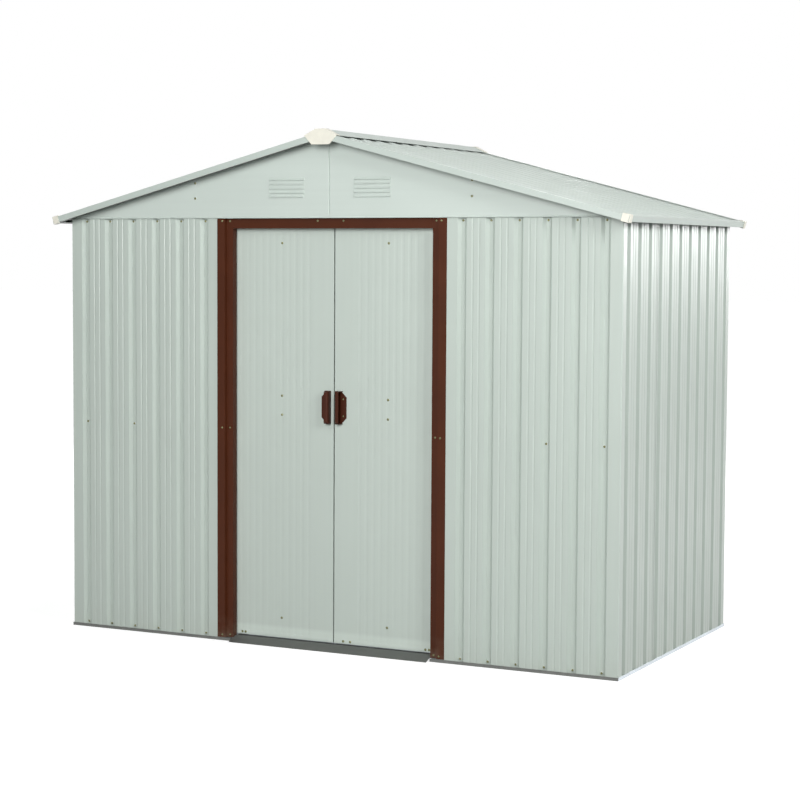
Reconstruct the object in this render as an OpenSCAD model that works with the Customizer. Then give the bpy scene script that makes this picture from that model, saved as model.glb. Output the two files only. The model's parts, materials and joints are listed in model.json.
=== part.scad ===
// Gabled garden shed of grooved steel sheet with two sliding doors.
// X runs along the door front, Y from front to back, Z up from the ground.

/* [Walls] */
// Width over the wall sheets, along the door front
wall_w = 2340; // [2240:10:2440]
// Depth over the wall sheets, front to back
wall_d = 1220; // [1180:10:1280]
// Height from the ground to the lower edge of the gables
wall_h = 1638; // [1560:2:1720]
// Thickness of the wall, roof and door sheet
sheet_t = 0.8; // [0.6:0.1:1]
// Spacing of the pressed grooves in the walls and the ribs on the roof
groove_pitch = 111; // [108:0.5:113]
// Width of a groove at the face of the sheet
groove_w = 36; // [32:1:40]
// Width of the flat bottom of a groove
groove_floor = 14; // [11:1:17]
// Depth of a groove
groove_depth = 12; // [9:0.5:14]
// Depth of the two fine beads between neighbouring grooves
bead_depth = 1.2; // [0.8:0.1:1.6]
// Distance from a corner fold to the first groove on the front and back
corner_margin = 66; // [58:1:72]
// Lap joint on the side walls, counted in grooves from the middle
side_lap_count = 2; // [1:1:3]

/* [Base and rails] */
// Thickness of rails, trims and door frame
frame_t = 1; // [0.8:0.1:1.2]
// Height of the lip of the base rail in front of the sheets
lip_h = 12; // [9:1:16]
// Height of the base rail upstand behind the sheets
upstand_h = 34; // [26:1:44]
// Height of the middle of the wall rail half way up
mid_rail_z = 830; // [700:5:950]
// Height of the web of a wall rail
rail_h = 30; // [24:1:40]
// Reach of the flanges of a wall rail
rail_reach = 18; // [12:1:19]
// Height of the web of a top rail
top_rail_h = 36; // [30:1:44]

/* [Roof] */
// Slope of the roof in degrees
roof_angle = 14.5; // [13:0.5:16]
// Overhang of the roof beyond the side walls
eave_over = 43; // [36:1:55]
// Overhang of the roof beyond the front and back walls
verge_over = 67; // [63:1:72]
// Height of the face of the edge trims
trim_h = 23; // [21:1:27]
// Reach of the upper flange of the edge trims over the sheet
trim_reach = 24; // [21:1:28]
// Half width of the flat top of the ridge cap
ridge_flat = 21; // [16:1:26]
// Half width of the ridge cap
ridge_half = 66; // [60:1:74]
// Rise of the ridge cap above the roof sheets
ridge_rise = 23.5; // [22:0.5:27]
// How far the rim of the ridge end covers reaches back over the ridge cap
ridge_rim = 24; // [16:1:32]
// Wall thickness of the plastic covers
cover_t = 2.2; // [1.8:0.1:3]
// Reach of a corner cap along the two edge trims
cap_reach = 30; // [27:1:45]
// Distance of the two roof purlins from the middle
purlin_x = 588; // [540:2:640]
// Height of a purlin web
purlin_h = 78; // [66:1:90]

/* [Gable vents] */
// Number of louvres in a vent
louvre_count = 5; // [3:1:5]
// Spacing of the louvres
louvre_pitch = 16.2; // [15:0.2:18]
// Length of a louvre
louvre_len = 152; // [120:2:170]
// How far a louvre hood stands out of the gable sheet
louvre_out = 5; // [3:0.5:6]
// Distance of the vents from the middle
vent_x = 182; // [160:2:220]
// Height of the middle louvre above the lower edge of the gable
vent_z = 115; // [100:1:125]

/* [Doorway] */
// Clear width between the jambs
doorway_w = 852; // [780:2:900]
// Drop from the lower edge of the gables to the lower edge of the header
header_drop = 38; // [30:1:48]
// Width of the recessed face of a jamb
jamb_face = 26; // [20:1:32]
// Width of the outer flange of a jamb
jamb_flange = 32; // [28:1:38]
// Depth of the step from the outer flange to the recessed face
jamb_step = 13; // [12.5:0.1:13]
// How far the sill runs out in front of the wall
sill_out = 24; // [18:1:34]
// Depth of the level deck in front of the doors
sill_deck = 17; // [10:1:24]
// Height of the sill deck below the doors
sill_h = 18; // [14:1:20]

/* [Doors] */
// Distance from the wall face back to the face of the doors
door_set = 46; // [44:0.5:47]
// Depth of the folded edges of a door
door_fold = 17; // [12:1:18]
// How far a closed door reaches behind its jamb
door_lap = 26; // [18:1:40]
// Gap between the two closed doors
door_gap = 5; // [5:1:8]
// Width of the plain strip along the meeting edge
door_strip = 99; // [90:1:104]
// Spacing of the fine grooves in a door
door_pitch = 29.5; // [28:0.5:32]
// Width of a door groove at the face
door_groove = 16; // [14:1:18]
// Width of the flat bottom of a door groove
door_floor = 6; // [4:1:8]
// Depth of a door groove
door_groove_depth = 0.9; // [0.6:0.1:1.5]
// Distance of the upright stiffener from the middle
brace_x = 228; // [200:2:260]
// Height of the middle of the handles
handle_z = 925; // [860:5:990]
// Height of a handle
handle_h = 125; // [100:1:140]
// Width of a handle plate
handle_w = 39; // [36:1:42]
// How far the grip stands out from the door
handle_out = 27; // [22:0.5:30]
// Width of the front lip of the grip
handle_lip = 17; // [14:0.5:19]
// Corner cut on the outer side of the handle plate
handle_cut = 23; // [15:1:24]
// Plastic thickness of the handle
handle_t = 3; // [2.5:0.1:3.5]

/* [Fits] */
// Gap between parts that rest on or against each other
seat = 0.3; // [0.2:0.05:0.4]
// Clear distance of a moving door from the fixed parts beside it
slide_gap = 5; // [5:0.5:8]

/* [Hidden] */
$fn = 48;
big = 3000;
xw = wall_w / 2;
yw = wall_d / 2;
yf = -yw;
groove_run = (groove_w - groove_floor) / 2;
flank_angle = atan(groove_depth / groove_run);
// a lapped sheet lies on its neighbour, flank on flank
lap = sheet_t / cos(flank_angle) + 0.1;
rail_depth = groove_depth + sheet_t + seat;
rail_inner = rail_depth + rail_reach + 4;
mitre = 4 * rail_depth;
wall_foot = frame_t + seat;
wall_top = wall_h + 12;
fold_cut = 2.5;
gable_flange = 16;
header_z = wall_h - header_drop;
jamb_in = doorway_w / 2;
jamb_out = jamb_in + 1 + jamb_face + 4 + jamb_flange;
panel_in = jamb_out - 20;
front_n = floor((xw - corner_margin - jamb_out - groove_w / 2 - 8) / groove_pitch) + 1;
front_grooves = [for (i = [front_n - 1 : -1 : 0]) xw - corner_margin - i * groove_pitch];
side_n = floor((yw - groove_w / 2 - 18) / groove_pitch);
side_joint = side_lap_count * groove_pitch;
corner_grooves = [for (k = [-side_n : -side_lap_count]) k * groove_pitch];
infill_grooves = [for (k = [-side_lap_count : side_lap_count]) k * groove_pitch];
back_in = front_grooves[0];
back_n = round(2 * back_in / groove_pitch);
back_grooves = [for (k = [0 : back_n]) -back_in + 2 * back_in * k / back_n];
lap_reach = groove_w / 2 + 8;
// roof planes pass just over the top of the side walls
ca = cos(roof_angle);
ta = tan(roof_angle);
ridge_z = wall_h + 0.4 + xw * ta;
yv = yw + verge_over;
eave_u = (xw + eave_over) / ca;
rib_top = groove_depth + sheet_t;
rib_n = floor((yv - frame_t - groove_floor / 2 - 1) / groove_pitch);
trim_top = rib_top + seat + frame_t;
ridge_top = ridge_z + ridge_rise;
ridge_edge = ridge_z + (trim_top + lap + seat + frame_t) / ca - ridge_half * ta + 0.2;
// the two doors
door_foot = sill_h + frame_t + slide_gap;
door_top = header_z + 4;
leaf_in = door_gap / 2;
leaf_out = jamb_in + door_lap;
door_back = door_set + sheet_t;
handle_in = leaf_in + 11.5;
door_travel = jamb_in - slide_gap - handle_in - handle_w;
track_lip = door_back + 9;
track_floor = door_top + 10;
track_back = track_lip + 16;
guide_line = track_lip + 4;
hanger_at = [leaf_in + 68, leaf_out - 52];
guide_at = [leaf_in + 54, leaf_out - 62];

wall_colour = [0.73, 0.78, 0.74];
gable_colour = [0.79, 0.83, 0.80];
door_colour = [0.76, 0.81, 0.77];
roof_colour = [0.79, 0.82, 0.80];
trim_colour = [0.82, 0.85, 0.84];
brown = [0.31, 0.18, 0.12];
rail_colour = [0.56, 0.59, 0.60];
sill_colour = [0.36, 0.38, 0.36];
cream = [0.94, 0.93, 0.88];
nylon = [0.16, 0.16, 0.16];

// Folded sheet: a path in section and the same path one thickness to its left
function seg_normal(p, i) = let (d = (p[i + 1] - p[i]) / norm(p[i + 1] - p[i])) [-d[1], d[0]];
function joint_normal(a, b) = (a + b) / (1 + a * b);
function inner(p, i, t) =
  i == 0 ? p[0] + t * seg_normal(p, 0) :
  i == len(p) - 1 ? p[i] + t * seg_normal(p, i - 1) :
  p[i] + t * joint_normal(seg_normal(p, i - 1), seg_normal(p, i));
function folded(p, t) = concat(p, [for (i = [len(p) - 1 : -1 : 0]) inner(p, i, t)]);

// Trapezium pressed into a sheet: position along the sheet and depth
function press(c, w, f, d) = [[c - w / 2, 0], [c - f / 2, d], [c + f / 2, d], [c + w / 2, 0]];
function groove(c) = press(c, groove_w, groove_floor, groove_depth);
function bead(c) = press(c, 9, 3, bead_depth);
function bead_pair(a, b) = concat(bead((a + b) / 2 - 12.5), bead((a + b) / 2 + 12.5));
// grooved run of sheet from s0 to s1 with grooves at the places in c
function run(s0, s1, c) = concat(
  [[s0, 0]],
  [for (i = [0 : len(c) - 1])
    each concat(groove(c[i]), i < len(c) - 1 ? bead_pair(c[i], c[i + 1]) : [])],
  [[s1, 0]]);

module along_x(x0, x1) {
  translate([x0, 0, 0]) rotate([90, 0, 90]) linear_extrude(x1 - x0) children();
}
module along_y(y0, y1) {
  translate([0, y1, 0]) rotate([90, 0, 0]) linear_extrude(y1 - y0) children();
}
module up_z(z0, z1) {
  translate([0, 0, z0]) linear_extrude(z1 - z0) children();
}
module strip(path, t) {
  polygon(folded(path, t));
}
module left_of(side) {
  mirror([side == "left" ? 1 : 0, 0, 0]) children();
}
module rear_of(end) {
  mirror([0, end == "rear" ? 1 : 0, 0]) children();
}
module both_sides() {
  children();
  mirror([1, 0, 0]) children();
}
// frame of one roof slope: X down the slope, Z square to it from the underside of the sheet
module on_slope() {
  translate([0, 0, ridge_z]) rotate([0, roof_angle, 0]) children();
}
module above_roof() {
  on_slope() translate([-big / 10, -big / 2, -seat]) cube([big, big, big / 5]);
}

// Base rails: channel with a low lip outside the sheets and an upstand behind them
function rail_lip() = lap + seat + frame_t;
function base_section() = [
  [-rail_lip(), lip_h], [-rail_lip(), 0], [rail_depth + frame_t, 0], [rail_depth + frame_t, upstand_h]];
module corner_mitre(x, y, g) {
  up_z(-1, upstand_h + 1) polygon([[x + 1 - g, -y - 1], [x + 1 - g, mitre - y], [x - mitre - g, mitre - y]]);
}
module side_mitre(x, y, g) {
  up_z(-1, upstand_h + 1) polygon([[x + 1, -y - 1 + g], [x - mitre, mitre - y + g], [x - mitre, -y - 1 + g]]);
}
module base_rail_x(x0, x1) {
  translate([0, yf, 0]) along_x(x0, x1) strip(base_section(), frame_t);
}
module front_base_rails() {
  color(sill_colour) both_sides() difference() {
    base_rail_x(jamb_in + 4, xw + rail_lip());
    corner_mitre(xw + rail_lip(), yw + rail_lip(), 0.1);
  }
}
module back_base_rail() {
  color(rail_colour) mirror([0, 1, 0]) difference() {
    base_rail_x(-xw - rail_lip(), xw + rail_lip());
    corner_mitre(xw + rail_lip(), yw + rail_lip(), 0.1);
    mirror([1, 0, 0]) corner_mitre(xw + rail_lip(), yw + rail_lip(), 0.1);
  }
}
module side_base_rails() {
  color(rail_colour) both_sides() difference() {
    translate([xw, 0, 0]) mirror([1, 0, 0]) along_y(-yw - rail_lip(), yw + rail_lip())
      strip(base_section(), frame_t);
    side_mitre(xw + rail_lip(), yw + rail_lip(), 0.1);
    mirror([0, 1, 0]) side_mitre(xw + rail_lip(), yw + rail_lip(), 0.1);
  }
}
// Sill: a ramp in front of the doors, a deck below them and a back leg
module door_sill() {
  color(sill_colour) translate([0, yf, 0]) along_x(-jamb_in + 0.5, jamb_in - 0.5)
    strip([[-sill_out, 0], [door_set - sill_deck, sill_h], [guide_line - seat - frame_t, sill_h],
      [guide_line - seat - frame_t, 0]], frame_t);
}
// Upstand that the feet of the doors run along
module door_floor_track() {
  end = leaf_out + door_travel + 20;
  color(rail_colour) translate([0, yf, 0]) along_x(-end, end)
    strip([[guide_line, upstand_h], [guide_line, 0], [guide_line + 20, 0]], frame_t);
}

// Wall sheets: four corner sheets folded round the corners, lapped by sheets between them
function corner_path(x_in) = concat(
  [for (p = run(x_in, xw - fold_cut, front_grooves)) [p[0], yf + p[1]]],
  [for (p = run(yf + fold_cut, lap_reach - side_joint, corner_grooves)) [xw - p[1], p[0]]]);
module corner_sheet(x_in) {
  difference() {
    up_z(wall_foot, wall_top) strip(corner_path(x_in), sheet_t);
    above_roof();
  }
}
module front_left_corner_panel() {
  color(wall_colour) left_of("left") corner_sheet(panel_in);
}
module front_right_corner_panel() {
  color(wall_colour) corner_sheet(panel_in);
}
module rear_left_corner_panel() {
  color(wall_colour) left_of("left") rear_of("rear") corner_sheet(back_in - lap_reach);
}
module rear_right_corner_panel() {
  color(wall_colour) rear_of("rear") corner_sheet(back_in - lap_reach);
}
module side_sheet() {
  difference() {
    up_z(wall_foot, wall_top)
      strip([for (p = run(-side_joint - lap_reach, side_joint + lap_reach, infill_grooves))
        [xw + lap - p[1], p[0]]], sheet_t);
    above_roof();
  }
}
module left_side_panel() {
  color(wall_colour) left_of("left") side_sheet();
}
module right_side_panel() {
  color(wall_colour) side_sheet();
}
module back_panel() {
  color(wall_colour) rear_of("rear") up_z(wall_foot, wall_top)
    strip([for (p = run(-back_in - lap_reach, back_in + lap_reach, back_grooves))
      [p[0], yf - lap + p[1]]], sheet_t);
}

// Rails behind the sheets, at the top and half way up
function channel(h, reach) = [[reach, 0], [0, 0], [0, h], [reach, h]];
function top_channel() = let (x = xw - rail_depth, x2 = xw - rail_inner, z = ridge_z - seat / ca) [
  [x2, wall_h - top_rail_h], [x, wall_h - top_rail_h], [x, z - x * ta], [x2, z - x2 * ta]];
module side_top_rails() {
  color(rail_colour) both_sides() along_y(yf + rail_depth + 4, yw - rail_depth - 4)
    strip(top_channel(), frame_t);
}
module wall_rail(x0, x1, z, h) {
  translate([0, yf + rail_depth, z - h / 2]) along_x(x0, x1) strip(channel(h, rail_reach), -frame_t);
}
module back_top_rail() {
  end = xw - rail_inner - 5;
  color(rail_colour) rear_of("rear") wall_rail(-end, end, wall_h + 4 - top_rail_h / 2, top_rail_h);
}
module front_mid_rails() {
  color(rail_colour) both_sides() wall_rail(jamb_in + 30, xw - rail_depth - 4, mid_rail_z, rail_h);
}
module back_mid_rail() {
  color(rail_colour) rear_of("rear")
    wall_rail(-xw + rail_depth + 4, xw - rail_depth - 4, mid_rail_z, rail_h);
}
module side_mid_rails() {
  color(rail_colour) both_sides()
    translate([xw - rail_depth, 0, mid_rail_z - rail_h / 2])
      along_y(yf + rail_depth + rail_reach + 6, yw - rail_depth - rail_reach - 6)
        mirror([1, 0]) strip(channel(rail_h, rail_reach), -frame_t);
}

// Door frame
module jamb() {
  x1 = jamb_in + 1;
  x2 = x1 + jamb_face;
  difference() {
    translate([0, yf, 0]) up_z(lip_h + seat, wall_h - seat)
      strip([[jamb_out, -seat], [x2 + 4, -seat], [x2, jamb_step], [x1, jamb_step],
        [x1, door_set - 9], [x1 + 10, door_set - 9]], frame_t);
    translate([0, yf + jamb_step + 0.05, header_z - 1]) cube([big, door_set, 2 * header_drop]);
  }
}
module left_jamb() {
  color(brown) left_of("left") jamb();
}
module right_jamb() {
  color(brown) jamb();
}
module door_header() {
  color(brown) translate([0, yf, 0]) along_x(-jamb_in + seat, jamb_in - seat)
    strip([[0, wall_h + 8], [jamb_step - frame_t, wall_h + 8], [jamb_step - frame_t, header_z],
      [door_set - 10, header_z]], frame_t);
}
// Track over the whole front: a leg behind the sheets and a trough that carries the doors
module door_track() {
  color(rail_colour) translate([0, yf, 0]) along_x(-xw + rail_inner + 0.9, xw - rail_inner - 0.9)
    strip([[track_lip, track_floor + 7], [track_lip, track_floor], [track_back, track_floor],
      [track_back, wall_h + 4], [rail_depth, wall_h + 4], [rail_depth, wall_h - 32]], frame_t);
}

// Gables: two flat sheets to an end, with louvred vents and flanges at the middle and under the roof
module louvre(out) {
  hood = 10;
  difference() {
    along_x(-louvre_len / 2, louvre_len / 2) polygon([[0.2, 0], [-out, -hood], [0.2, -hood]]);
    along_x(-louvre_len / 2 + sheet_t, louvre_len / 2 - sheet_t)
      polygon([[1, -sheet_t * 1.4], [sheet_t, -sheet_t * 1.4], [sheet_t - out, -hood - 1], [1, -hood - 1]]);
  }
}
module gable_sheet(stand) {
  y0 = yf - stand;
  y1 = y0 - sheet_t;
  flange_z = wall_top + 4;
  difference() {
    union() {
      translate([0, y0, 0]) {
        along_x(seat, xw) strip([[-4, wall_h], [0, wall_h + 6], [0, flange_z]], sheet_t);
        along_x(seat + fold_cut, xw) strip([[0, flange_z - 1], [0, ridge_z]], sheet_t);
      }
      // middle flange, fixed to that of the other sheet
      up_z(flange_z, ridge_z) strip([[seat, y0 + gable_flange], [seat, y1 + fold_cut],
        [seat + fold_cut, y1], [seat + gable_flange, y1]], sheet_t);
      intersection() {
        on_slope() translate([0, y0 - 0.2, -seat - sheet_t]) cube([eave_u, gable_flange, sheet_t + 0.1]);
        translate([gable_flange + 4, y0 - 1, wall_top + 8]) cube([big, 2 * gable_flange, ridge_z - wall_h]);
      }
    }
    both_sides() above_roof();
    for (i = [0 : louvre_count - 1])
      translate([vent_x - louvre_len / 2 + 0.5, y0 - 5, vent_bottom() + i * louvre_pitch - 8.8])
        cube([louvre_len - 1, 10, 8]);
  }
}
function vent_bottom() = wall_h + vent_z - (louvre_count - 1) / 2 * louvre_pitch + 5;
module gable(stand) {
  union() {
    gable_sheet(stand);
    for (i = [0 : louvre_count - 1])
      translate([vent_x, yf - stand - sheet_t, vent_bottom() + i * louvre_pitch]) louvre(louvre_out);
  }
}
module front_left_gable() {
  color(gable_colour) left_of("left") gable(seat);
}
module front_right_gable() {
  color(gable_colour) gable(seat);
}
module rear_left_gable() {
  color(gable_colour) left_of("left") rear_of("rear") gable(lap + seat);
}
module rear_right_gable() {
  color(gable_colour) rear_of("rear") gable(lap + seat);
}

// Purlins: the web hangs below the roof, its end tabs are fixed to the gables
module purlin() {
  z1 = ridge_z - seat / ca - purlin_x * ta;
  x2 = purlin_x + 26;
  y1 = yw - 20;
  along_y(-y1, y1)
    strip([[x2, z1 - purlin_h], [purlin_x, z1 - purlin_h], [purlin_x, z1], [x2, z1 - 26 * ta]], -frame_t);
  for (s = [0, 1]) mirror([0, s, 0]) {
    translate([purlin_x, -yw, z1 - purlin_h + 4]) cube([frame_t, 30, purlin_h - 20]);
    translate([purlin_x, -yw, z1 - purlin_h + 4]) cube([24, frame_t, purlin_h - 20]);
  }
}
module roof_purlins() {
  color(rail_colour) both_sides() purlin();
}

// Roof sheets: the same pressing turned over, ribs up, two sheets to a slope lapped on the middle rib
function rib_path(k0, k1) = [for (p = run(0, 1, [for (k = [k0 : k1]) k * groove_pitch])) p];
function rib_body(k0, k1) = let (p = rib_path(k0, k1)) [for (i = [1 : len(p) - 2]) p[i]];
function roof_path() = let (p = rib_body(-rib_n, 0), n = len(p))
  concat([for (i = [1 : n - 1]) p[i]], [[lap_reach, 0]]);
module roof_sheet(lift) {
  on_slope() translate([0, 0, lift]) along_x(16, eave_u - frame_t - 1.5) strip(roof_path(), sheet_t);
}
module left_front_roof_panel() {
  color(roof_colour) left_of("left") roof_sheet(0);
}
module right_front_roof_panel() {
  color(roof_colour) roof_sheet(0);
}
module left_rear_roof_panel() {
  color(roof_colour) left_of("left") rear_of("rear") roof_sheet(lap);
}
module right_rear_roof_panel() {
  color(roof_colour) rear_of("rear") roof_sheet(lap);
}
// Edge trims: one channel section round the sheets
function trim_path(reach) = [[reach, 0], [0, 0], [0, -trim_h], [reach - 6, -trim_h]];
module verge_trim(lift) {
  on_slope() translate([0, -yv, trim_top + lift]) along_x(5, eave_u) strip(trim_path(trim_reach), frame_t);
}
module front_verge_trims() {
  color(trim_colour) both_sides() verge_trim(0);
}
module rear_verge_trims() {
  color(trim_colour) rear_of("rear") both_sides() verge_trim(lap);
}
module eave_trims() {
  color(trim_colour) both_sides() on_slope() translate([eave_u, 0, trim_top + lap])
    mirror([1, 0, 0]) along_y(-yv + trim_reach + seat, yv - trim_reach - seat)
      strip(trim_path(trim_reach), frame_t);
}
// Moulded covers over the corners of the trims, open towards the roof
module corner_cap() {
  lo = trim_top - trim_h - seat;
  hi = trim_top + lap + seat;
  u = eave_u + seat + cover_t;
  y = yv + seat + cover_t;
  difference() {
    up_z(lo - cover_t, hi + cover_t)
      polygon([[u - cap_reach, -y], [u - 6, -y], [u, 6 - y], [u, cap_reach - y],
        [u - 12, cap_reach - y], [u - cap_reach, 12 - y]]);
    up_z(lo, hi)
      polygon([[u - 2 * cap_reach, cover_t - y], [u - cover_t, cover_t - y],
        [u - cover_t, 2 * cap_reach - y], [u - 2 * cap_reach, 2 * cap_reach - y]]);
  }
}
module eave_corner_caps() {
  color(cream) both_sides() for (s = [0, 1]) mirror([0, s, 0]) on_slope() corner_cap();
}
// Ridge cap with a flat top and two sloping wings
module ridge_cap() {
  color(trim_colour) along_y(-yv, yv)
    strip([[ridge_half, ridge_edge], [ridge_flat, ridge_top], [-ridge_flat, ridge_top],
      [-ridge_half, ridge_edge]], frame_t);
}
// Six sided covers that close the ends of the ridge, with a rim over the ridge cap
function cover_outline() = let (
  m = (ridge_edge - ridge_top) / (ridge_half - ridge_flat),
  q = seat + cover_t,
  l = sqrt(1 + m * m),
  xt = ridge_flat + q * (1 - l) / m,
  xs = ridge_half + q + 0.6,
  zs = ridge_top + q * l + m * (xs - ridge_flat),
  xb = ridge_half * 0.57)
  [[-xb, zs - 34], [xb, zs - 34], [xs, zs], [xt, ridge_top + q], [-xt, ridge_top + q], [-xs, zs]];
function cover_rim() = let (p = cover_outline()) [p[2], p[3], p[4], p[5]];
module ridge_end_caps() {
  color(cream) for (s = [0, 1]) mirror([0, s, 0]) {
    along_y(-yv - seat - cover_t, -yv - seat) polygon(cover_outline());
    along_y(-yv - seat - cover_t, ridge_rim - yv) strip(cover_rim(), cover_t);
  }
}

// Doors, drawn for the right hand one
function leaf_grooves() = let (n = floor((leaf_out - leaf_in - door_strip - 30) / door_pitch))
  [for (i = [0 : n]) leaf_in + door_strip + door_groove / 2 + i * door_pitch];
function leaf_path() = concat(
  [[leaf_in, door_fold], [leaf_in, 0]],
  [for (c = leaf_grooves()) each press(c, door_groove, door_floor, door_groove_depth)],
  [[leaf_out, 0], [leaf_out, door_fold]]);
module leaf() {
  translate([0, yf + door_set, 0]) {
    difference() {
      up_z(door_foot, door_top) strip(leaf_path(), sheet_t);
      // the folded edges are notched at the foot to pass the floor track
      translate([0, guide_line - slide_gap - door_set, 0]) cube([big, door_fold, upstand_h + slide_gap]);
    }
    for (z = [door_foot, door_top - 16])
      translate([leaf_in + 0.4, sheet_t - 0.3, z])
        cube([leaf_out - leaf_in - 0.8, door_groove_depth + 0.8, 16]);
  }
}
module brace() {
  translate([brace_x, yf + door_back + door_groove_depth + seat, 0])
    up_z(door_foot + 50, door_top - 40)
      strip([[18, 10], [18, 0], [-18, 0], [-18, 10]], -frame_t);
}
// Pull: screwed plate with cut corners, wall at the meeting edge and a lip turned outwards
module handle() {
  r = 8;
  x0 = handle_in;
  y0 = -seat;
  z0 = -handle_h / 2;
  depth = handle_out;
  translate([x0, yf + door_set + y0, handle_z]) difference() {
    union() {
      along_y(-handle_t, 0) polygon([[0, z0], [handle_w - handle_cut, z0], [handle_w, z0 + handle_cut],
        [handle_w, -z0 - handle_cut], [handle_w - handle_cut, -z0], [0, -z0]]);
      up_z(z0, -z0) difference() {
        union() {
          translate([0, r - depth]) square([handle_lip, depth - r]);
          translate([r, -depth]) square([handle_lip - r, r + 1]);
          translate([r, r - depth]) circle(r);
        }
        translate([handle_t, r - depth]) square([handle_lip, depth - r - handle_t]);
        translate([r, handle_t - depth]) square([handle_lip, r]);
        translate([r, r - depth]) circle(r - handle_t);
      }
      for (z = [z0, -z0 - handle_t])
        up_z(z, z + handle_t) polygon([[1, -1], [1, r - depth], [r, 1 - depth], [handle_lip, 1 - depth],
          [handle_lip + 6, -1]]);
    }
    for (s = [0, 1]) mirror([0, 0, s])
      along_x(-1, handle_lip + 10)
        polygon([[-depth - 1, -z0 - 7], [-depth - 1, 1 - z0], [8 - depth, 1 - z0]]);
    for (z = [-32, 32])
      translate([handle_w - 13, 1, z]) rotate([90, 0, 0]) cylinder(d = 4, h = handle_t + 2);
  }
}
// Nylon runners: hooks over the track at the top, grooved feet on the floor track
module hanger() {
  y0 = door_back + door_groove_depth + 0.8 + seat;
  hook = track_floor + frame_t + seat;
  translate([-20, yf, 0]) along_x(0, 40)
    polygon([[y0, door_top - 24], [track_lip - 1.5, door_top - 24], [track_lip - 1.5, hook + 12],
      [track_lip + 5, hook + 12], [track_lip + 5, hook], [track_back - 4, hook], [track_back - 4, hook + 16],
      [y0, hook + 16]]);
}
module foot() {
  y0 = door_back + door_groove_depth + 0.8 + seat;
  translate([-20, yf, 0]) along_x(0, 40) difference() {
    translate([y0, door_foot]) square([guide_line + 10 - y0, 24]);
    translate([guide_line - 1.1, door_foot - 1]) square([frame_t + 2.2, upstand_h + 3 - door_foot + 1]);
  }
}
module sliders() {
  for (x = hanger_at) translate([x, 0, 0]) hanger();
  for (x = guide_at) translate([x, 0, 0]) foot();
}
module left_door_leaf() {
  color(door_colour) left_of("left") leaf();
}
module left_door_brace() {
  color(rail_colour) left_of("left") brace();
}
module left_door_handle() {
  color(brown) left_of("left") handle();
}
module left_door_sliders() {
  color(nylon) left_of("left") sliders();
}
module right_door_leaf() {
  color(door_colour) leaf();
}
module right_door_brace() {
  color(rail_colour) brace();
}
module right_door_handle() {
  color(brown) handle();
}
module right_door_sliders() {
  color(nylon) sliders();
}

front_base_rails();
side_base_rails();
back_base_rail();
door_sill();
door_floor_track();
front_left_corner_panel();
front_right_corner_panel();
rear_left_corner_panel();
rear_right_corner_panel();
left_side_panel();
right_side_panel();
back_panel();
side_top_rails();
back_top_rail();
front_mid_rails();
side_mid_rails();
back_mid_rail();
left_jamb();
right_jamb();
door_header();
door_track();
front_left_gable();
front_right_gable();
rear_left_gable();
rear_right_gable();
roof_purlins();
left_front_roof_panel();
left_rear_roof_panel();
right_front_roof_panel();
right_rear_roof_panel();
front_verge_trims();
rear_verge_trims();
eave_trims();
eave_corner_caps();
ridge_cap();
ridge_end_caps();
left_door_leaf();
left_door_brace();
left_door_handle();
left_door_sliders();
right_door_leaf();
right_door_brace();
right_door_handle();
right_door_sliders();
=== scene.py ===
"""Looks of a gabled garden shed of grooved steel sheet: coatings, screws, studio light and camera."""
import json
from math import cos, pi, radians, sin

import bmesh
import bpy
from mathutils import Matrix, Vector


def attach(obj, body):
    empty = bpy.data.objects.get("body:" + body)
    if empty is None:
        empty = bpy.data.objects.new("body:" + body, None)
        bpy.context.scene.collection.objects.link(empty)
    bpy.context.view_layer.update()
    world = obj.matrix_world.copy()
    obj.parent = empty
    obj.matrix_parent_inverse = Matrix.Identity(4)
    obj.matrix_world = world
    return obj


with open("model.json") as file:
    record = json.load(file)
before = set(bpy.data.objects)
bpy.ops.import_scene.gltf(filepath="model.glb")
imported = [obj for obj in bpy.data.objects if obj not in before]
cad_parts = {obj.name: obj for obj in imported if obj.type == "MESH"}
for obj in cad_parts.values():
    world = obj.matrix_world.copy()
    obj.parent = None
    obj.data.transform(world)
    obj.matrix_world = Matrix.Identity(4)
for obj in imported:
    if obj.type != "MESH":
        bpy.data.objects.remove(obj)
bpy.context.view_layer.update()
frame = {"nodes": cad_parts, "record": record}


# Colours

def srgb(r, g, b):
    """Linear colour of an 8-bit screen colour."""
    lin = [c / 255 / 12.92 if c <= 10 else ((c / 255 + 0.055) / 1.055) ** 2.4 for c in (r, g, b)]
    return (*lin, 1.0)


def shade(colour, k):
    """A colour made k times as bright."""
    return (*[min(1.0, c * k) for c in colour[:3]], 1.0)


GREEN_GREY = srgb(193, 204, 196)
# Gables: a lighter copy of the sheet paint, painted light
LIT_GABLE_GREY = srgb(204, 215, 208)
DOOR_GREY = srgb(196, 207, 199)
ROOF_GREY = srgb(196, 205, 199)
TRIM_GREY = srgb(195, 206, 199)
# Painted shade for faces that look down
UNDERSIDE_SHADE = srgb(44, 49, 45)
BROWN = srgb(74, 36, 18)
HANDLE_BROWN = srgb(66, 31, 17)
ZINC = srgb(212, 219, 225)
DARK_ZINC = srgb(110, 112, 109)
CREAM = srgb(240, 238, 224)
NYLON = srgb(44, 44, 44)
BRASS = srgb(116, 118, 88)
WASHER = srgb(208, 214, 208)
DUST = srgb(172, 170, 156)
DRIED_MUD = srgb(150, 138, 122)
WHITE = (1, 1, 1, 1)


# Materials

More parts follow.
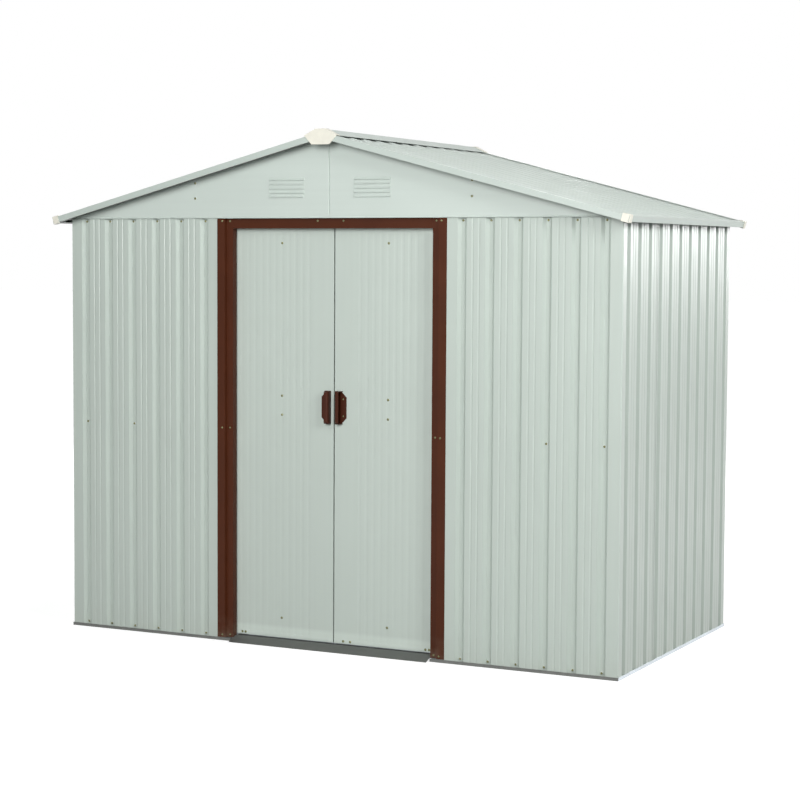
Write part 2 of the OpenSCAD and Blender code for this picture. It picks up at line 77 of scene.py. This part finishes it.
class Graph:
    """The node tree of a material or world, with a few short-hands for wiring it."""

    def __init__(self, owner):
        owner.use_nodes = True
        self.owner = owner
        self.tree = owner.node_tree
        self.place = self.node("ShaderNodeTexCoord").outputs["Object"]

    def node(self, kind, **inputs):
        n = self.tree.nodes.new(kind)
        for key, value in inputs.items():
            self.feed(value, n.inputs[key.replace("_", " ")])
        return n

    def feed(self, value, socket):
        if isinstance(value, bpy.types.NodeSocket):
            self.tree.links.new(value, socket)
        else:
            socket.default_value = value

    def principled(self, **inputs):
        """Feeds the Principled shader and hands back the finished material."""
        bsdf = self.tree.nodes["Principled BSDF"]
        for key, value in inputs.items():
            self.feed(value, bsdf.inputs[key.replace("_", " ")])
        return self.owner

    def operate(self, kind, operation, *values):
        """A Math or VectorMath node with its inputs fed in order."""
        n = self.tree.nodes.new(kind)
        n.operation = operation
        for value, socket in zip(values, n.inputs):
            self.feed(value, socket)
        return n

    def times(self, a, b):
        return self.operate("ShaderNodeMath", "MULTIPLY", a, b).outputs[0]

    def ramp(self, value, low, high, out_low=0.0, out_high=1.0):
        """Maps low..high to out_low..out_high and stays level beyond."""
        return self.node("ShaderNodeMapRange", Value=value, From_Min=low, From_Max=high,
                         To_Min=out_low, To_Max=out_high).outputs[0]

    def mix(self, factor, a, b):
        n = self.tree.nodes.new("ShaderNodeMix")
        n.data_type = "RGBA"
        self.feed(factor, n.inputs["Factor"])
        self.feed(a, n.inputs["A"])
        self.feed(b, n.inputs["B"])
        return n.outputs["Result"]

    def noise(self, scale, detail=2.0, stretch=None):
        """Noise with scale in waves per metre. stretch multiplies it along X, Y and Z."""
        vector = self.place
        if stretch:
            vector = self.node("ShaderNodeMapping", Vector=self.place, Scale=stretch).outputs[0]
        return self.node("ShaderNodeTexNoise", Vector=vector, Scale=scale, Detail=detail).outputs["Fac"]

    def bump(self, height, distance, normal=None):
        n = self.node("ShaderNodeBump", Height=height, Strength=1.0, Distance=distance)
        if normal is not None:
            self.feed(normal, n.inputs["Normal"])
        return n.outputs[0]

    def edges(self, radius):
        """1 on sharp edges and 0 on flat faces, with the rounded normal that finds them."""
        bevel = self.node("ShaderNodeBevel", Radius=radius)
        bevel.samples = 4
        rounded = bevel.outputs[0]
        flat = self.node("ShaderNodeNewGeometry").outputs["Normal"]
        dot = self.operate("ShaderNodeVectorMath", "DOT_PRODUCT", rounded, flat)
        return self.ramp(dot.outputs["Value"], 0.995, 0.9), rounded

    def height(self):
        """Height above the ground in metres."""
        return self.node("ShaderNodeSeparateXYZ", Vector=self.place).outputs["Z"]

    def underside(self):
        """1 on faces that look down, 0 elsewhere."""
        facet = self.node("ShaderNodeNewGeometry").outputs["True Normal"]
        return self.ramp(self.node("ShaderNodeSeparateXYZ", Vector=facet).outputs["Z"], -0.4, -0.7)

    def softened(self, normal, share):
        """The normal with its sideways part cut to a share, for grooves softened by the coating."""
        part = self.operate("ShaderNodeVectorMath", "MULTIPLY", normal, (share, 1, 1))
        return self.operate("ShaderNodeVectorMath", "NORMALIZE", part.outputs[0]).outputs[0]


# Rounding of the folds, kept below the thickness of each material
SHEET_FOLD = 0.0007
RAIL_FOLD = 0.0008
MOULDED_FOLD = 0.0015
WASHER_FOLD = 0.0004

# Heights between which the painted highlight at the foot of a door fades in and out
SHINE_FOOT, SHINE_LOW, SHINE_HIGH, SHINE_TOP = 0.024, 0.036, 0.058, 0.072
# Heights up to which dust and mud climb the walls and the door frame
DUST_TOP, MUD_TOP = 0.12, 0.10

# Roll marks run along Z on walls, along X on roof and gables, along Y on the trims
UPRIGHT, ALONG_X, ALONG_Y = (1, 1, 0.02), (0.02, 1, 1), (1, 0.02, 1)


def coated_steel(name, colour, roughness, grain=UPRIGHT, dust=0.0, foot_shine=False, wave=0.0025, groove=1.0,
                 fold_wear_and_highlight=0.2):
    """Coil-coated sheet: roll marks, clouding, orange peel, folds painted lighter as a highlight with a
    little wear, and painted shade on faces that look down.
    """
    g = Graph(bpy.data.materials.new(name))
    cloud = g.ramp(g.noise(1.7, detail=3.0), 0.3, 0.7)
    marks = g.ramp(g.noise(55, detail=3.0, stretch=grain), 0.3, 0.7)
    speck = g.ramp(g.noise(700), 0.35, 0.65)
    edge, normal = g.edges(SHEET_FOLD)
    tone = g.mix(g.times(cloud, 0.6), shade(colour, 0.965), shade(colour, 1.03))
    tone = g.mix(g.times(marks, 0.35), tone, shade(colour, 1.05))
    tone = g.mix(g.times(speck, 0.10), tone, shade(colour, 0.9))
    # painted highlight: folds made lighter, with a little edge wear
    tone = g.mix(g.times(edge, fold_wear_and_highlight), tone, shade(colour, 1.16))
    if foot_shine:
        # painted highlight: a lighter band just above the foot of the door
        shine_band = g.times(g.ramp(g.height(), SHINE_TOP, SHINE_HIGH), g.ramp(g.height(), SHINE_FOOT, SHINE_LOW))
        tone = g.mix(g.times(shine_band, 0.6), tone, shade(colour, 1.2))
    # painted shade: faces that look down take a dark colour, for the shade under overhangs
    tone = g.mix(g.underside(), tone, UNDERSIDE_SHADE)
    if dust:
        low = g.times(g.ramp(g.height(), DUST_TOP, 0.0), g.ramp(g.noise(14, detail=4.0), 0.25, 0.75))
        tone = g.mix(g.times(low, dust), tone, DUST)
    sheen = g.ramp(g.noise(9, detail=3.0), 0.3, 0.7, roughness - 0.05, roughness + 0.06)
    if groove < 1:
        normal = g.softened(normal, groove)
    oil_can = g.bump(g.noise(3.2, detail=1.0, stretch=(1, 1, 0.5)), wave, normal)
    peel = g.bump(g.noise(420), 0.05 * wave, oil_can)
    return g.principled(Base_Color=tone, Roughness=sheen, Normal=peel)


def painted_frame(name, colour, roughness, gloss):
    """Brown stove enamel on folded steel, lighter on the folds as a patchy painted highlight with a
    little rubbing, dusty at the foot.
    """
    g = Graph(bpy.data.materials.new(name))
    cloud = g.ramp(g.noise(6, detail=4.0), 0.3, 0.7)
    speck = g.ramp(g.noise(900), 0.4, 0.6)
    edge, normal = g.edges(RAIL_FOLD)
    rub_and_highlight = g.times(edge, g.ramp(g.noise(40, detail=4.0), 0.35, 0.65, 0.2, 0.8))
    foot = g.times(g.ramp(g.height(), MUD_TOP, 0.01), g.ramp(g.noise(25, detail=4.0), 0.35, 0.7))
    tone = g.mix(cloud, shade(colour, 0.9), shade(colour, 1.12))
    tone = g.mix(g.times(speck, 0.15), tone, shade(colour, 0.7))
    # painted highlight on the folds, patchy with a little rubbing
    tone = g.mix(rub_and_highlight, tone, shade(colour, 1.9))
    tone = g.mix(g.times(foot, 0.25), tone, DRIED_MUD)
    sheen = g.ramp(g.noise(30, detail=3.0), 0.3, 0.7, roughness - 0.06, roughness + 0.08)
    return g.principled(Base_Color=tone, Roughness=sheen, Specular_IOR_Level=gloss,
                        Normal=g.bump(g.noise(500), 0.00015, normal))


def galvanised(name, colour, roughness, metal):
    """Zinc with its crystal spangle, fine scratches and dull patches of oxide."""
    g = Graph(bpy.data.materials.new(name))
    cells = g.node("ShaderNodeTexVoronoi", Vector=g.place, Scale=95).outputs["Color"]
    spangle = g.node("ShaderNodeSeparateColor", Color=cells).outputs[0]
    scratch = g.ramp(g.noise(60, detail=3.0, stretch=(0.05, 0.05, 1)), 0.55, 0.7)
    oxide = g.ramp(g.noise(7, detail=5.0), 0.45, 0.75)
    edge, normal = g.edges(RAIL_FOLD)
    tone = g.mix(g.times(spangle, 0.7), shade(colour, 0.84), shade(colour, 1.1))
    tone = g.mix(g.times(oxide, 0.35), tone, shade(colour, 0.72))
    tone = g.mix(g.times(scratch, 0.2), tone, shade(colour, 1.2))
    # painted highlight: folds made lighter
    tone = g.mix(g.times(edge, 0.4), tone, shade(colour, 1.25))
    sheen = g.ramp(spangle, 0.0, 1.0, roughness - 0.08, roughness + 0.1)
    return g.principled(Base_Color=tone, Metallic=metal, Roughness=sheen,
                        Normal=g.bump(scratch, 0.00008, normal))


def moulded(name, colour, roughness, grain, fold=MOULDED_FOLD, gloss=0.5):
    """Moulded plastic: spark-eroded grain, soft edges with a painted highlight and a little uneven
    colour.
    """
    g = Graph(bpy.data.materials.new(name))
    cloud = g.ramp(g.noise(22, detail=3.0), 0.3, 0.7)
    edge, normal = g.edges(fold)
    tone = g.mix(cloud, shade(colour, 0.93), shade(colour, 1.04))
    # painted highlight on the edges
    tone = g.mix(g.times(edge, 0.3), tone, shade(colour, 1.25))
    sheen = g.ramp(g.noise(120), 0.3, 0.7, roughness - 0.05, roughness + 0.08)
    return g.principled(Base_Color=tone, Roughness=sheen, Specular_IOR_Level=gloss,
                        Normal=g.bump(g.noise(1400), grain, normal))


def plated(name, colour, roughness):
    """Yellow-passivated steel with a mottled sheen."""
    g = Graph(bpy.data.materials.new(name))
    patch = g.ramp(g.noise(260, detail=3.0), 0.3, 0.7)
    return g.principled(Base_Color=g.mix(patch, shade(colour, 0.75), shade(colour, 1.15)), Metallic=1.0,
                        Roughness=g.ramp(patch, 0.0, 1.0, roughness, roughness + 0.15),
                        Normal=g.bump(g.noise(1500), 0.00005))


MATERIALS = {
    "wall_paint": coated_steel("wall_paint", GREEN_GREY, 0.34, dust=0.18),
    "door_paint": coated_steel("door_paint", DOOR_GREY, 0.38, dust=0.12, foot_shine=True, groove=0.4, fold_wear_and_highlight=0.06),
    "roof_paint": coated_steel("roof_paint", ROOF_GREY, 0.40, grain=ALONG_X, wave=0.0002),
    "trim_paint": coated_steel("trim_paint", TRIM_GREY, 0.36, grain=ALONG_Y),
    "gable_paint": coated_steel("gable_paint", LIT_GABLE_GREY, 0.42, grain=ALONG_X),
    "brown_paint": painted_frame("brown_paint", BROWN, 0.36, gloss=0.14),
    "galvanised": galvanised("galvanised", ZINC, 0.36, metal=0.85),
    "dark_galvanised": galvanised("dark_galvanised", DARK_ZINC, 0.5, metal=0.55),
    "cream_plastic": moulded("cream_plastic", CREAM, 0.42, grain=0.00004),
    "brown_plastic": moulded("brown_plastic", HANDLE_BROWN, 0.4, grain=0.00012, gloss=0.15),
    "black_nylon": moulded("black_nylon", NYLON, 0.5, grain=0.00008),
    "screw_plating": plated("screw_plating", BRASS, 0.3),
    "washer_plastic": moulded("washer_plastic", WASHER, 0.35, grain=0.00003, fold=WASHER_FOLD),
}

for part in frame["record"]["subparts"]:
    node = part["node"]
    # the gables take the lighter copy of the sheet paint, painted light
    key = "gable_paint" if node.endswith("gable") else part["material_slot"]
    mesh = frame["nodes"][node].data
    mesh.materials.clear()
    mesh.materials.append(MATERIALS[key])


# Screws and washers, sizes in metres

HEAD_RADIUS = 0.0046
HEAD_RISE = 0.0026
WASHER_RADIUS = 0.0062
WASHER_RISE = 0.0011
WASHER_ROUND = 0.0005
CROSS_HALF = 0.00075
CROSS_REACH = 0.0029
CROSS_DEPTH = 0.0012
SPOKES = 24
DOME_STEPS = (0, 18, 36, 52, 66, 78)
TURN_PER_SCREW = 0.7


def lathe(bm, profile, place):
    """Turns (radius, height) pairs round the local Z axis, with a cross recess in the top."""
    rings = []
    for r, h in profile:
        if r == 0:
            rings.append([bm.verts.new(place @ Vector((0, 0, h)))] * SPOKES)
            continue
        ring = []
        for i in range(SPOKES):
            a = 2 * pi * i / SPOKES
            x, y = r * cos(a), r * sin(a)
            in_cross = min(abs(x), abs(y)) < CROSS_HALF and r < CROSS_REACH and h > HEAD_RISE / 2
            ring.append(bm.verts.new(place @ Vector((x, y, h - CROSS_DEPTH if in_cross else h))))
        rings.append(ring)
    for low, high in zip(rings, rings[1:]):
        for i in range(SPOKES):
            j = (i + 1) % SPOKES
            corners = [low[i], low[j], high[j], high[i]]
            bm.faces.new(list(dict.fromkeys(corners)))


def head_profile():
    """Pan head with a domed top, from the washer up to the recess."""
    top = WASHER_RISE + HEAD_RISE
    dome = [(HEAD_RADIUS * cos(a), WASHER_RISE + HEAD_RISE * sin(a)) for a in map(radians, DOME_STEPS)]
    inner = [(r, top) for r in (0.0007, 0.0004)]
    return [(0, WASHER_RISE), (HEAD_RADIUS * 0.96, WASHER_RISE), *dome, *inner, (0, top - CROSS_DEPTH)]


def washer_profile():
    """Flat washer with a rounded rim."""
    return [(0, 0), (WASHER_RADIUS, 0), (WASHER_RADIUS, WASHER_RISE * 0.6),
            (WASHER_RADIUS - WASHER_ROUND, WASHER_RISE), (0, WASHER_RISE)]


def facing(point, normal, spin):
    """Placement of a screw on a face: local Z along the face's normal, turned by spin."""
    turn = Vector(normal).normalized().to_track_quat("Z", "Y").to_matrix().to_4x4()
    return Matrix.Translation(point) @ turn @ Matrix.Rotation(spin, 4, "Z")


def fasteners(name, body, spots, size=1.0, washer="washer_plastic"):
    """One mesh of heads and one of washers for a set of screws, given as (point, normal) pairs."""
    for kind, profile, material in (("heads", head_profile(), "screw_plating"),
                                    ("washers", washer_profile(), washer)):
        bm = bmesh.new()
        for i, (point, normal) in enumerate(spots):
            lathe(bm, profile, facing(point, normal, TURN_PER_SCREW * i) @ Matrix.Scale(size, 4))
        bmesh.ops.recalc_face_normals(bm, faces=bm.faces)
        mesh = bpy.data.meshes.new(f"{name}_{kind}")
        bm.to_mesh(mesh)
        bm.free()
        mesh.materials.append(MATERIALS[material])
        for face in mesh.polygons:
            face.use_smooth = True
        piece = bpy.data.objects.new(f"{name}_{kind}", mesh)
        bpy.context.scene.collection.objects.link(piece)
        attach(piece, body)


FRONT, BACK, RIGHT, LEFT = (0, -1, 0), (0, 1, 0), (1, 0, 0), (-1, 0, 0)
SIDES = (-1, 1)

# Walls: face of the sheets, grooves, and the step where one sheet lies over another
WALL_X, WALL_Y = 1.170, 0.610
GROOVE_DEPTH, GROOVE_PITCH = 0.012, 0.111
FIRST_GROOVE, FRONT_COUNT, BACK_COUNT, SIDE_COUNT = 0.549, 6, 11, 5
LAP = 0.00128
SIDE_SHEET_HALF = 0.23
TOP_ROW, SIDE_TOP_ROW, MID_ROW, FOOT_ROW = 1.628, 1.612, 0.830, 0.020
MID_ROW_GROOVES = (3, 5)

# Gables: screws into the purlins
PURLIN_X, GABLE_STAND, GABLE_ROWS = 0.588, 0.0011, (1.774, 1.715)

# Door frame: outer flange and recessed face of the jambs, and the header
FLANGE_X, FLANGE_Y = 0.467, -0.6113
RECESS_X, RECESS_Y = 0.440, -0.598
FRAME_ROWS = (1.628, 0.832, 0.0225)
HEADER_X, HEADER_ROW = 0.055, 1.628

# Doors: screws into the stiffener, the runners and the handle
DOOR_FACE, DOOR_GROOVE = -0.564, -0.5631
BRACE_X, BRACE_ROWS = 0.228, (1.545, 0.961, 0.888, 0.101)
RUNNER_ROW, INNER_RUNNER_X = 0.033, (0.0415, 0.0715)
OUTER_RUNNER_X, OUTER_GROOVE_X = 0.3897, 0.4045
HANDLE_X, HANDLE_Y, HANDLE_Z, HANDLE_REACH = 0.040, -0.5673, 0.925, 0.032


def wall_screws():
    """Rows along the top, the middle rail and the foot, on the floors of the grooves."""
    front_grooves = [FIRST_GROOVE + GROOVE_PITCH * i for i in range(FRONT_COUNT)]
    side_grooves = [GROOVE_PITCH * k for k in range(-SIDE_COUNT, SIDE_COUNT + 1)]
    back_grooves = [-FIRST_GROOVE + 2 * FIRST_GROOVE * k / (BACK_COUNT - 1) for k in range(BACK_COUNT)]
    floor_x, floor_y = WALL_X - GROOVE_DEPTH, WALL_Y - GROOVE_DEPTH
    spots = []
    for s in SIDES:
        for i, x in enumerate(front_grooves):
            for z in [TOP_ROW, FOOT_ROW] + ([MID_ROW] if i in MID_ROW_GROOVES else []):
                spots.append(((s * x, -floor_y, z), FRONT))
                if i > 0:
                    spots.append(((s * x, floor_y, z), BACK))
        for k, y in enumerate(side_grooves):
            lapped = LAP if abs(y) < SIDE_SHEET_HALF else 0.0
            for z in [SIDE_TOP_ROW, FOOT_ROW] + ([MID_ROW] if k % 2 else []):
                spots.append(((s * (floor_x + lapped), y, z), RIGHT if s > 0 else LEFT))
    for k, x in enumerate(back_grooves):
        for z in [TOP_ROW, FOOT_ROW] + ([MID_ROW] if k % 2 == 0 else []):
            spots.append(((x, floor_y + LAP, z), BACK))
    return spots


def gable_screws():
    spots = []
    for s in SIDES:
        for z in GABLE_ROWS:
            spots.append(((s * PURLIN_X, -WALL_Y - GABLE_STAND, z), FRONT))
            spots.append(((s * PURLIN_X, WALL_Y + GABLE_STAND + LAP, z), BACK))
    return spots


def frame_screws():
    spots = []
    for s in SIDES:
        for z in FRAME_ROWS:
            spots.append(((s * FLANGE_X, FLANGE_Y, z), FRONT))
            spots.append(((s * RECESS_X, RECESS_Y, z), FRONT))
        spots.append(((s * HEADER_X, RECESS_Y, HEADER_ROW), FRONT))
    return spots


def door_screws(s):
    """Screws of one door. In the photograph the left door lacks the inner pair at its foot."""
    spots = [((s * BRACE_X, DOOR_GROOVE, z), FRONT) for z in BRACE_ROWS]
    inner = INNER_RUNNER_X if s > 0 else ()
    spots += [((s * x, DOOR_FACE, RUNNER_ROW), FRONT) for x in (*inner, OUTER_RUNNER_X)]
    spots.append(((s * OUTER_GROOVE_X, DOOR_GROOVE, RUNNER_ROW), FRONT))
    return spots


def handle_screws(s):
    return [((s * HANDLE_X, HANDLE_Y, HANDLE_Z + d), FRONT) for d in (-HANDLE_REACH, HANDLE_REACH)]


fasteners("wall_screws", "shed", wall_screws())
fasteners("gable_screws", "shed", gable_screws())
fasteners("door_frame_screws", "shed", frame_screws(), size=0.6, washer="screw_plating")
for s, body in zip(SIDES, ("left_door", "right_door")):
    fasteners(f"{body}_screws", body, door_screws(s), size=0.8, washer="screw_plating")
    fasteners(f"{body}_handle_screws", body, handle_screws(s), size=0.55, washer="screw_plating")


# Studio

AMBIENT = 0.01
FLOOR_HALF, FLOOR_DROP = 60, 0.0005
SEEN_PAPER, LIT_PAPER = (0.9, 0.9, 0.9, 1), (0.22, 0.22, 0.22, 1)
# Share of the lit paper in what shows of the floor, which keeps the shadow.
# The rest glows white, more so from the near to the far distance.
SHADOW_SHARE = 0.55
GLOW_NEAR, GLOW_FAR = 1.62, 2.3
NEAR, FAR = 1.6, 3.2


def white_background(g):
    """1 for the rays that show the background: those of the camera, of reflections and of glass."""
    rays = g.node("ShaderNodeLightPath").outputs
    seen = rays["Is Camera Ray"]
    for key in ("Is Glossy Ray", "Is Transmission Ray"):
        seen = g.operate("ShaderNodeMath", "MAXIMUM", seen, rays[key]).outputs[0]
    return seen


def backdrop():
    """World that shows white and lights the object hardly at all."""
    world = bpy.data.worlds.new("studio")
    bpy.context.scene.world = world
    g = Graph(world)
    background = g.tree.nodes["Background"]
    g.feed(WHITE, background.inputs["Color"])
    g.feed(g.ramp(white_background(g), 0.0, 1.0, AMBIENT, 1.0), background.inputs["Strength"])


def floor_paper():
    """Paper that shows white but for a soft shadow, and throws little light back on the object."""
    g = Graph(bpy.data.materials.new("floor_paper"))
    seen = white_background(g)
    lit = g.node("ShaderNodeBsdfDiffuse", Color=g.mix(seen, LIT_PAPER, SEEN_PAPER))
    away = g.operate("ShaderNodeVectorMath", "LENGTH", g.place).outputs["Value"]
    strength = g.ramp(away, NEAR, FAR, GLOW_NEAR, GLOW_FAR)
    glow = g.node("ShaderNodeEmission", Color=WHITE, Strength=strength)
    blend = g.node("ShaderNodeMixShader", Fac=g.ramp(seen, 0.0, 1.0, 0.0, 1 - SHADOW_SHARE))
    g.feed(lit.outputs[0], blend.inputs[1])
    g.feed(glow.outputs[0], blend.inputs[2])
    g.tree.nodes.remove(g.tree.nodes["Principled BSDF"])
    g.feed(blend.outputs[0], g.tree.nodes["Material Output"].inputs["Surface"])
    return g.owner


def softbox(name, place, target, width, height, watts):
    """Rectangular lamp at a place, turned to a target, not seen by the camera."""
    light = bpy.data.lights.new(name, "AREA")
    light.shape = "RECTANGLE"
    light.size, light.size_y = width, height
    light.energy = watts
    lamp = bpy.data.objects.new(name, light)
    lamp.location = place
    lamp.rotation_euler = (Vector(target) - Vector(place)).to_track_quat("-Z", "Y").to_euler()
    lamp.visible_camera = False
    bpy.context.scene.collection.objects.link(lamp)


backdrop()
floor_mesh = bpy.data.meshes.new("floor")
bm = bmesh.new()
bmesh.ops.create_grid(bm, x_segments=8, y_segments=8, size=FLOOR_HALF)
bm.to_mesh(floor_mesh)
bm.free()
floor_mesh.materials.append(floor_paper())
floor = bpy.data.objects.new("floor", floor_mesh)
bpy.context.scene.collection.objects.link(floor)
floor.location.z = -FLOOR_DROP

softbox("front_low", (0.5, -7.0, 2.2), (0, -0.6, 1.0), 2.4, 2.0, watts=140)
softbox("front_high", (0.9, -5.6, 3.1), (0, -0.6, 1.2), 2.2, 1.6, watts=125)
softbox("right_far", (6.0, -3.4, 3.2), (0.2, -0.6, 1.2), 2.0, 2.0, watts=86)
softbox("right_near", (4.4, -2.6, 3.4), (0.4, -0.6, 1.4), 1.5, 1.5, watts=58)
softbox("side", (6.5, 1.0, 4.0), (1.2, 0, 1.2), 2.6, 2.6, watts=138)
softbox("overhead", (0.4, 0.2, 5.5), (0.4, 0.2, 0), 4.0, 3.0, watts=26)
softbox("rear_right", (3.9, 7.5, 2.7), (1.2, 0, 1.5), 3.6, 2.4, watts=205)
softbox("rear_left", (-3.2, 6.8, 2.2), (-0.2, 0.6, 1.0), 3.0, 2.0, watts=190)
softbox("left_side", (-6.8, 0.8, 2.2), (-1.2, 0, 1.0), 2.6, 2.2, watts=130)


# Camera, at the photograph's place and angle

EYE = (3.6612, -7.3243, 1.4979)
YAW, PITCH_DOWN, ROLL = radians(26.585), radians(4.047), radians(0.313)

camera = bpy.data.cameras.new("camera")
camera.sensor_width = 36
camera.lens = 91.58
eye = bpy.data.objects.new("camera", camera)
eye.matrix_world = (Matrix.Translation(EYE) @ Matrix.Rotation(YAW, 4, "Z")
                    @ Matrix.Rotation(pi / 2 - PITCH_DOWN, 4, "X") @ Matrix.Rotation(ROLL, 4, "Z"))
bpy.context.scene.collection.objects.link(eye)
bpy.context.scene.camera = eye
bpy.context.scene.view_settings.view_transform = "Standard"
